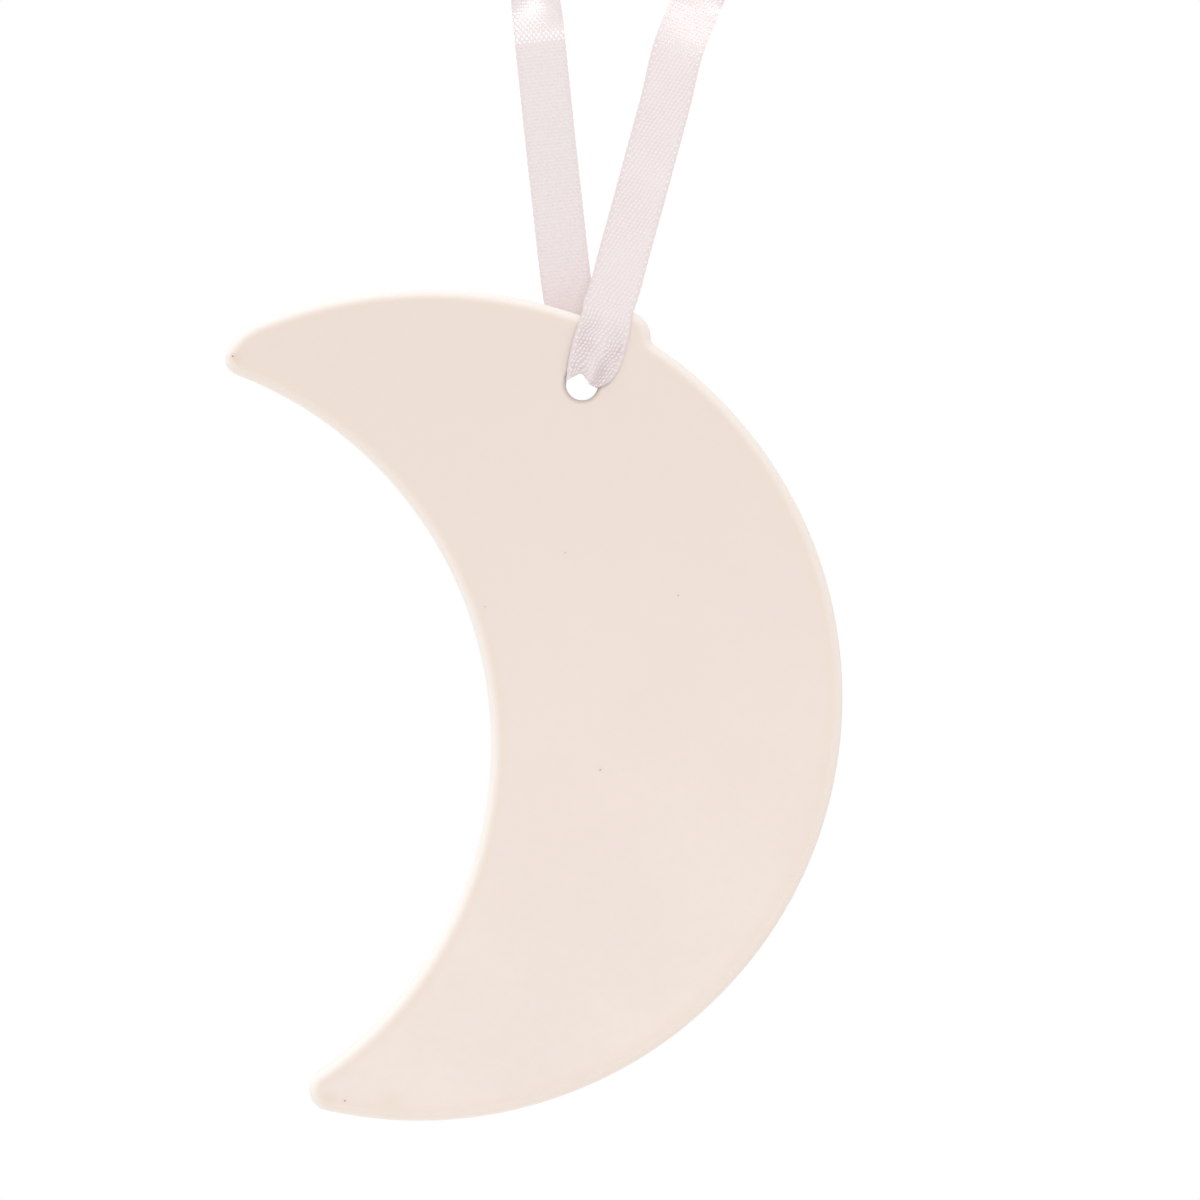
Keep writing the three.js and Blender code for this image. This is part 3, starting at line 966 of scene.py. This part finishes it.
def bisque():
    finish = Finish("bisque_ceramic_finish", BISQUE_LIT_BOTTOM, roughness=0.6, specular=0.3)
    _, depth, height = finish.parts(finish.place())
    # Painted shade: darker towards the top
    risen = finish.over(finish.minus(height, PLAQUE_LOW.z), PLAQUE_HEIGHT)
    body = finish.mix(finish.between(risen, 0.0, 1.0), BISQUE_LIT_BOTTOM, BISQUE_SHADED_TOP)
    for scale, detail, strength in CLOUDS:
        cloud = finish.between(finish.noise(scale, detail), *CLOUD_RANGE)
        body = finish.mix(finish.times(cloud, strength), body, BISQUE_CLOUD)

    # The edge: a warmer painted shade just inside it, and a painted highlight on it, strongest on the left
    # and the top
    edge = finish.attribute("edge_distance")
    body = finish.mix(finish.fading(edge, *WARM_SHADE_BAND, strength=0.4), body, BISQUE_WARM_SHADE)
    painted_highlight = finish.times(finish.fading(edge, *HIGHLIGHT_FADE), finish.attribute("edge_highlight"))
    low, high = (THICKNESS / 2 - share * EDGE_ROUND for share in HIGHLIGHT_DEPTH)
    at_corner = finish.between(finish.maths("ABSOLUTE", depth), low, high, 0.3, 1.0)
    body = finish.mix(finish.times(painted_highlight, at_corner), body, BISQUE_PAINTED_HIGHLIGHT)

    for x, z, size, strength in STAINS:
        body = finish.mix(finish.fading(away_from(finish, x, z), 0.0, size * MM, strength), body, STAIN)
    shade = finish.fading(away_from(finish, 0.0, 0.0, flat=True), *HOLE_SHADE, strength=0.9)
    body = finish.mix(shade, body, RIM_SHADE)
    # Each pit: a faint darker halo and a dark heart, painted shade where the pit would be
    for x, z, size in PITS:
        away = away_from(finish, x, z)
        body = finish.mix(finish.fading(away, size * MM, PIT_HALO * size * MM, 0.3), body, PIT_HALO_SHADE)
        body = finish.mix(finish.fading(away, PIT_HEART * size * MM, size * MM, 0.8), body, PIT_SHADE)
    finish.set("Base Color", body)
    grain = finish.noise(2600.0, detail=3.0, roughness=0.6)
    finish.relief(grain, distance=0.02 * MM, strength=0.25)
    return finish.material


def woven_place(finish, length):
    """Millimetres across the ribbon and along it, from the piece's own UV map."""
    across, along, _ = finish.parts(finish.node("ShaderNodeUVMap"))
    return finish.times(across, RIBBON_WIDTH / MM), finish.times(along, length / MM)


# The weave, in millimetres: picks along the ribbon and warp floats across it; in floats, how far they shift
# from pick to pick and how they slant; and how much a way aside and a way along count in the distance from a
# float's middle
PICK_PITCH = 0.46
FLOAT_PITCH = 0.50
FLOAT_SHIFT = 0.34
FLOAT_SLANT = 0.4
ASIDE_WEIGHT = 1.9
ALONG_WEIGHT = 0.8

# Distances from a float's middle over which the painted highlight on its top fades, and over which the
# painted shade in the hollow round it deepens, on the straight ribbon and near the hole
FLOAT_GLINT = (0.05, 0.45)
HOLLOW_SHADE = (0.22, 0.55)
DEEP_HOLLOW_SHADE = (0.15, 0.45)

# Distances from the hole, in millimetres, over which the threads settle, the weave closes up, the painted
# shade in the deep hollows fades and the painted shade of the crease fades
THREADS_SETTLE = (8.0, 16.0)
WEAVE_CLOSES = (4.0, 15.0)
DEEP_FADES = (3.5, 9.5)
CREASE_FADES = (1.6, 3.6)

# How far the threads wander near the hole and on the straight ribbon, in millimetres
WEAVE_WANDER = 1.0
SETTLED_WANDER = 0.35

# Places as shares of the width: the crease, and the smoother stretch near the middle
CREASE_PLACE = 0.66
SMOOTH_PLACE = 0.52

# The selvedge, in millimetres: its strip, how softly that ends, and the row of loops on it
SELVEDGE_WIDTH = 0.5
SELVEDGE_SOFTNESS = 0.12
LOOP_INSET = 0.35
LOOP_REACH = 0.22
LOOP_START = 0.35

# The reverse: the pitch of its mesh across the ribbon, in millimetres
REVERSE_PITCH = 0.62

# On the knot the threads lean this much with the depth and with the height
KNOT_LEAN = (0.8, 0.3)


def selvedge(finish, across, along):
    """The plain woven strip at the two edges, and the small bright loops that stand in a row on it."""
    half = RIBBON_WIDTH / MM / 2
    inner = half - SELVEDGE_WIDTH
    from_middle = finish.far_from(across, half)
    strip = finish.between(from_middle, inner - SELVEDGE_SOFTNESS, inner + SELVEDGE_SOFTNESS)
    turn = finish.maths("SINE", finish.times(along, math.tau * MM / SELVEDGE_PITCH))
    row = finish.fading(finish.far_from(from_middle, half - LOOP_INSET), 0.0, LOOP_REACH)
    return strip, finish.times(finish.between(turn, LOOP_START, 1.0), row)


def from_float(finish, across, along, from_hole):
    """How far a point is from the middle of its warp float; the threads wander, most of all near the hole."""
    looseness = finish.between(from_hole, *THREADS_SETTLE, WEAVE_WANDER, SETTLED_WANDER)
    wander = finish.times(finish.minus(finish.noise(450.0, detail=1.0), 0.5), looseness)
    pick_number = finish.over(finish.plus(along, wander), PICK_PITCH)
    shifted = finish.times(finish.maths("FLOOR", pick_number), FLOAT_SHIFT)
    column = finish.plus(finish.over(finish.plus(across, wander), FLOAT_PITCH), shifted)
    from_top = finish.minus(finish.maths("FRACT", pick_number), 0.5)
    from_side = finish.minus(finish.maths("FRACT", column), 0.5)
    from_side = finish.plus(from_side, finish.times(from_top, FLOAT_SLANT))
    aside = finish.times(from_side, from_side, ASIDE_WEIGHT)
    return finish.maths("SQRT", finish.plus(aside, finish.times(from_top, from_top, ALONG_WEIGHT)))


def satin_face(length, hole_at):
    finish = Finish("satin_face_finish", SATIN, roughness=0.27, specular=1.0)
    across, along = woven_place(finish, length)
    from_hole = finish.far_from(along, hole_at / MM)
    away = from_float(finish, across, along, from_hole)

    # Painted shade in the hollows between the floats, weaker where the weave is closed and in patches
    uneven = finish.between(finish.noise(160.0, detail=2.0), 0.3, 0.7, 0.5, 1.0)
    uneven = finish.times(finish.between(from_hole, *WEAVE_CLOSES, 1.0, 0.7), uneven)
    colour = finish.mix(finish.times(finish.between(away, *HOLLOW_SHADE), uneven), SATIN, SATIN_SHADE)

    # Deeper painted shade in the hollows where the ribbon is drawn into the hole, less of it on its smoother
    # middle
    patchy = finish.between(finish.noise(420.0, detail=2.0), 0.38, 0.62, 0.5, 0.9)
    from_smooth = finish.far_from(across, SMOOTH_PLACE * RIBBON_WIDTH / MM)
    drawn_in = finish.times(finish.fading(from_hole, *DEEP_FADES), patchy)
    drawn_in = finish.times(finish.between(from_smooth, 0.2, 1.6, 0.25, 1.0), drawn_in)
    colour = finish.mix(finish.times(finish.between(away, *DEEP_HOLLOW_SHADE), drawn_in), colour, SATIN_DEEP_SHADE)

    # Painted shade along the crease that runs out of the hole
    from_crease = finish.far_from(across, CREASE_PLACE * RIBBON_WIDTH / MM)
    crease = finish.times(finish.fading(from_crease, 0.1, 1.0, 0.55), finish.fading(from_hole, *CREASE_FADES))
    colour = finish.mix(crease, colour, SATIN_DEEP_SHADE)

    # Painted highlights on the tops of the floats, some of them fainter; painted shade on the selvedge and
    # painted highlights on its loops
    strip, bead = selvedge(finish, across, along)
    lifted = finish.between(finish.noise(900.0, detail=1.0), 0.36, 0.6, 0.4, 1.0)
    dot = finish.times(finish.fading(away, *FLOAT_GLINT), lifted, finish.minus(1.0, strip))
    colour = finish.mix(finish.times(dot, uneven), colour, SATIN_GLINT)
    colour = finish.mix(finish.times(strip, 0.7), colour, SATIN_SHADE)
    colour = finish.mix(finish.times(bead, 0.9), colour, SATIN_GLINT)
    finish.set("Base Color", colour)
    finish.relief(finish.plus(dot, bead), distance=0.035 * MM, strength=0.7)

    # The sheen is drawn out along the ribbon
    finish.set("Tangent", finish.node("ShaderNodeTangent", settings={"direction_type": "UV_MAP"}))
    finish.set("Anisotropic", 0.7)
    finish.set("Anisotropic Rotation", 0.25)
    finish.set("Sheen Weight", 0.05)
    return finish.material


def satin_reverse(length):
    """The ribbon's back: ribs along the picks, and a fine mesh that only shows where it catches the light."""
    finish = Finish("satin_reverse_finish", REVERSE, roughness=0.27, specular=1.0)
    across, along = woven_place(finish, length)
    pick_number = finish.over(along, PICK_PITCH)
    rib = finish.wave(finish.times(pick_number, math.tau))
    turned = finish.times(finish.maths("FLOOR", pick_number), math.pi)
    mesh = finish.wave(finish.plus(finish.times(across, math.tau / REVERSE_PITCH), turned))
    strip, bead = selvedge(finish, across, along)
    weave = finish.plus(rib, finish.times(mesh, 0.4))
    # Painted shade in the hollows of the ribs and the mesh and on the strip at the edges; painted highlights
    # on the loops
    colour = finish.mix(finish.times(weave, 0.3), REVERSE, REVERSE_SHADE)
    colour = finish.mix(finish.times(strip, 0.6), colour, REVERSE_SHADE)
    colour = finish.mix(finish.times(bead, 0.5), colour, SATIN_GLINT)
    finish.set("Base Color", colour)
    raised = finish.plus(finish.times(rib, 0.5), finish.times(mesh, 1.25))
    finish.relief(finish.plus(raised, bead), distance=0.03 * MM, strength=0.6)
    finish.set("Coat Weight", 0.6)
    finish.set("Coat Roughness", 0.35)
    finish.set("Sheen Weight", 0.1)
    return finish.material


def knotted_satin():
    """The satin on the knot, whose bands have no map of their own: the weave follows its place."""
    finish = Finish("knotted_satin_finish", SATIN, roughness=0.3, specular=0.9)
    x, y, z = finish.parts(finish.place())
    column = finish.plus(finish.plus(x, finish.times(y, KNOT_LEAN[0])), finish.times(z, KNOT_LEAN[1]))
    warp = finish.maths("SINE", finish.times(column, math.tau / MM / FLOAT_PITCH))
    weft = finish.maths("SINE", finish.times(z, math.tau / MM / PICK_PITCH))
    weave = finish.plus(warp, weft)
    dot = finish.between(weave, 0.2, 1.8)
    # Painted shade where the threads dip and painted highlights where they rise
    colour = finish.mix(finish.fading(weave, -1.8, 0.0, strength=0.6), SATIN, SATIN_SHADE)
    colour = finish.mix(finish.times(dot, 0.6), colour, SATIN_GLINT)
    finish.set("Base Color", colour)
    finish.relief(dot, distance=0.02 * MM, strength=0.5)
    return finish.material


# Stage, light and camera

def area_light(name, place, aim, size, power):
    light = bpy.data.lights.new(name, "AREA")
    light.shape = "DISK"
    light.size = size
    light.energy = power
    lamp = bpy.data.objects.new(name, light)
    bpy.context.scene.collection.objects.link(lamp)
    lamp.location = place
    direction = Vector(aim) - Vector(place)
    lamp.rotation_euler = direction.to_track_quat("-Z", "Y").to_euler()
    lamp.visible_camera = False


# The soft surround: how bright it is on the whole, and how much brighter towards the left, the back and the
# top
SURROUND = 0.78
SURROUND_LEAN = (-0.24, 0.30, 0.20)


def make_world():
    """White to the camera and to anything mirrored, and the soft surround to all other light."""
    world = bpy.data.worlds.new("studio")
    bpy.context.scene.world = world
    world.use_nodes = True
    world.node_tree.nodes.clear()
    sky = Nodes(world.node_tree)
    seen = 0.0
    for kind in ("Camera", "Glossy", "Transmission"):
        seen = sky.maths("MAXIMUM", seen, sky.node("ShaderNodeLightPath", output=f"Is {kind} Ray"))
    lean = sky.vectors("DOT_PRODUCT", sky.node("ShaderNodeTexCoord", output="Generated"), SURROUND_LEAN)
    surround = sky.node("ShaderNodeBackground", WHITE, sky.plus(lean, SURROUND))
    backdrop = sky.node("ShaderNodeBackground", WHITE)
    either = sky.node("ShaderNodeMixShader", seen, surround, backdrop)
    output = sky.tree.nodes.new("ShaderNodeOutputWorld")
    sky.feed(output.inputs["Surface"], either)


# The floor: how far it lies below the plaque, and the distances over which it fades to white for the camera
FLOOR_SIZE = 6.0
FLOOR_DROP = 0.10
FLOOR_GREY = (0.95, 0.95, 0.95, 1.0)
FLOOR_FADES = (0.25, 0.6)


def make_floor():
    place = (0, 0, PLAQUE_LOW.z - FLOOR_DROP)
    bpy.ops.mesh.primitive_plane_add(size=FLOOR_SIZE, location=place)
    floor = start("studio_floor")
    finish = Finish("studio_floor_finish", FLOOR_GREY, roughness=0.9, specular=0.1)
    away = finish.vectors("LENGTH", finish.place())
    by_camera = finish.node("ShaderNodeLightPath", output="Is Camera Ray")
    seen = finish.times(finish.between(away, *FLOOR_FADES), by_camera)
    white = finish.node("ShaderNodeEmission", Color=WHITE, Strength=1.0)
    either = finish.node("ShaderNodeMixShader", seen, finish.shader.outputs[0], white)
    output = next(n for n in finish.tree.nodes if n.type == "OUTPUT_MATERIAL")
    finish.feed(output.inputs["Surface"], either)
    floor.data.materials.append(finish.material)
    settle(floor)


def make_camera():
    lens = bpy.data.cameras.new("camera")
    lens.lens = LENS
    lens.sensor_width = SENSOR
    camera = bpy.data.objects.new("camera", lens)
    bpy.context.scene.collection.objects.link(camera)
    distance = PIXEL * IMAGE_SIDE * LENS / SENSOR
    camera.location = VIEW_CENTRE - Vector((0, distance, 0))
    camera.rotation_euler = (math.pi / 2, 0, 0)
    lens.clip_start = 0.01
    lens.clip_end = 20.0
    bpy.context.scene.camera = camera


# The scene

bpy.context.scene.view_settings.view_transform = "Standard"
make_camera()
make_world()
make_floor()

# Two softboxes, aimed at the middle of the object; metres and watts
middle = Vector((0, 0, -0.10))
area_light("high_softbox", (0.42, -1.28, 1.36), middle, size=0.55, power=9.6)
area_light("low_softbox", (0.05, -0.30, -0.38), middle, size=0.25, power=0.32)

surface, ribbon_length, hole_at = ribbon_surface()
face, reverse = satin_face(ribbon_length, hole_at), satin_reverse(ribbon_length)
ribbon = ribbon_strip("satin_ribbon", surface, face, reverse)
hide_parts("ribbon_front_leg", "ribbon_through_hole", "ribbon_back_leg")

knot = make_knot()
knot.data.materials.clear()
knot.data.materials.append(knotted_satin())
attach(knot, "ribbon")
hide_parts("ribbon_knot")

# The tails are woven like the ribbon far from the hole
tail_face, tail_reverse = satin_face(TAIL_LENGTH, -TAIL_LENGTH), satin_reverse(TAIL_LENGTH)
left_tail = ribbon_strip("ribbon_tail_left_cut", tail_surface(LEFT_TAIL_ROUTE), tail_face, tail_reverse)
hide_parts("ribbon_tail_left")
right_tail = ribbon_strip("ribbon_tail_right_cut", tail_surface(RIGHT_TAIL_ROUTE), tail_face, tail_reverse)
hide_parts("ribbon_tail_right")

crescent = make_crescent()
finish_crescent(crescent)
crescent.data.materials.append(bisque())
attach(crescent, "plaque")
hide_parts("plaque_body")
